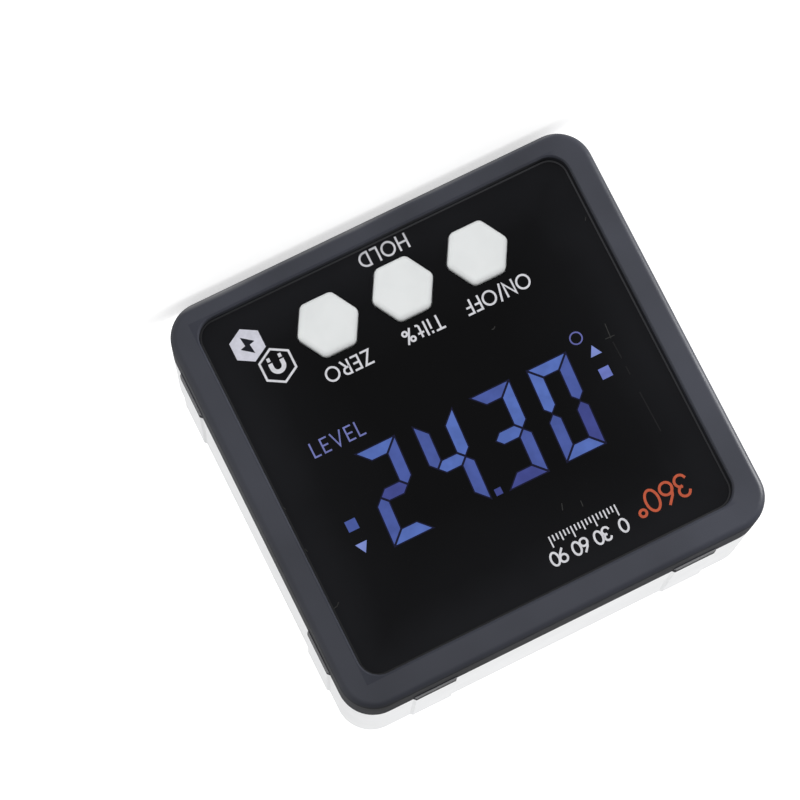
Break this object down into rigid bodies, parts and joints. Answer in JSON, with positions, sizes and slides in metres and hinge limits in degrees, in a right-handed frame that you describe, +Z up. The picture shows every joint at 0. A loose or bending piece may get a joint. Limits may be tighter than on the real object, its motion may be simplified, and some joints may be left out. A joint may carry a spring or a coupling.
{
  "type": "digital angle gauge",
  "caption": "Square digital inclinometer with a sunk black display window, hexagonal push keys, a charcoal bezel on a silver frame, and a flat magnetic base.",
  "frame": {"origin": "middle of the foot of the gauge: x = 0 on its centre line, y = 0 halfway from the face to the back, z = 0 on the surface it stands on", "axes": "+X to the right seen from the front, +Y from the face to the back, +Z up"},
  "size_m": [0.056, 0.027, 0.0543],
  "materials": {
    "charcoal_plastic": "fine moulded texture, satin",
    "silver_alloy": "satin anodised",
    "black_window": "glossy, printed on the back",
    "white_key": "satin white",
    "plunger_plastic": "moulded",
    "black_plastic": "moulded",
    "display_glass": "dark display glass",
    "clear_plastic": "clear moulded",
    "white_plastic": "moulded",
    "contact_rubber": "silicone",
    "board_laminate": "solder mask",
    "cell_foil": "foil pouch",
    "bright_steel": "nickel plated",
    "magnet_plate": "nickel plated",
    "seal_rubber": "silicone"
  },
  "bodies": {
    "case": {"front_bezel": "charcoal_plastic", "body_frame": "silver_alloy", "rear_cover": "silver_alloy", "front_window": "black_window", "key_switches": "black_plastic", "lcd_glass": "display_glass", "lcd_light_guide": "clear_plastic", "lcd_holder": "white_plastic", "lcd_contact_strip": "contact_rubber", "lcd_lamps": "white_plastic", "main_board": "board_laminate", "controller_chip": "black_plastic", "tilt_sensor": "black_plastic", "charger_chip": "black_plastic", "battery_cell": "cell_foil", "charging_socket": "bright_steel", "base_magnets": "magnet_plate", "front_seal": "seal_rubber", "rear_seal": "seal_rubber", "case_screws": "bright_steel", "holder_screws": "bright_steel"},
    "on_off_key": {"on_off_button": "white_key", "on_off_plunger": "plunger_plastic"},
    "hold_key": {"hold_button": "white_key", "hold_plunger": "plunger_plastic"},
    "zero_key": {"zero_button": "white_key", "zero_plunger": "plunger_plastic"}
  },
  "joints": [
    {"name": "on_off_press", "type": "slide", "parent": "case", "child": "on_off_key", "axis": [0, 1, 0], "range_m": [0, 0.0005], "stiffness_N_per_m": 1500},
    {"name": "hold_press", "type": "slide", "parent": "case", "child": "hold_key", "axis": [0, 1, 0], "range_m": [0, 0.0005], "stiffness_N_per_m": 1500},
    {"name": "zero_press", "type": "slide", "parent": "case", "child": "zero_key", "axis": [0, 1, 0], "range_m": [0, 0.0005], "stiffness_N_per_m": 1500}
  ]
}
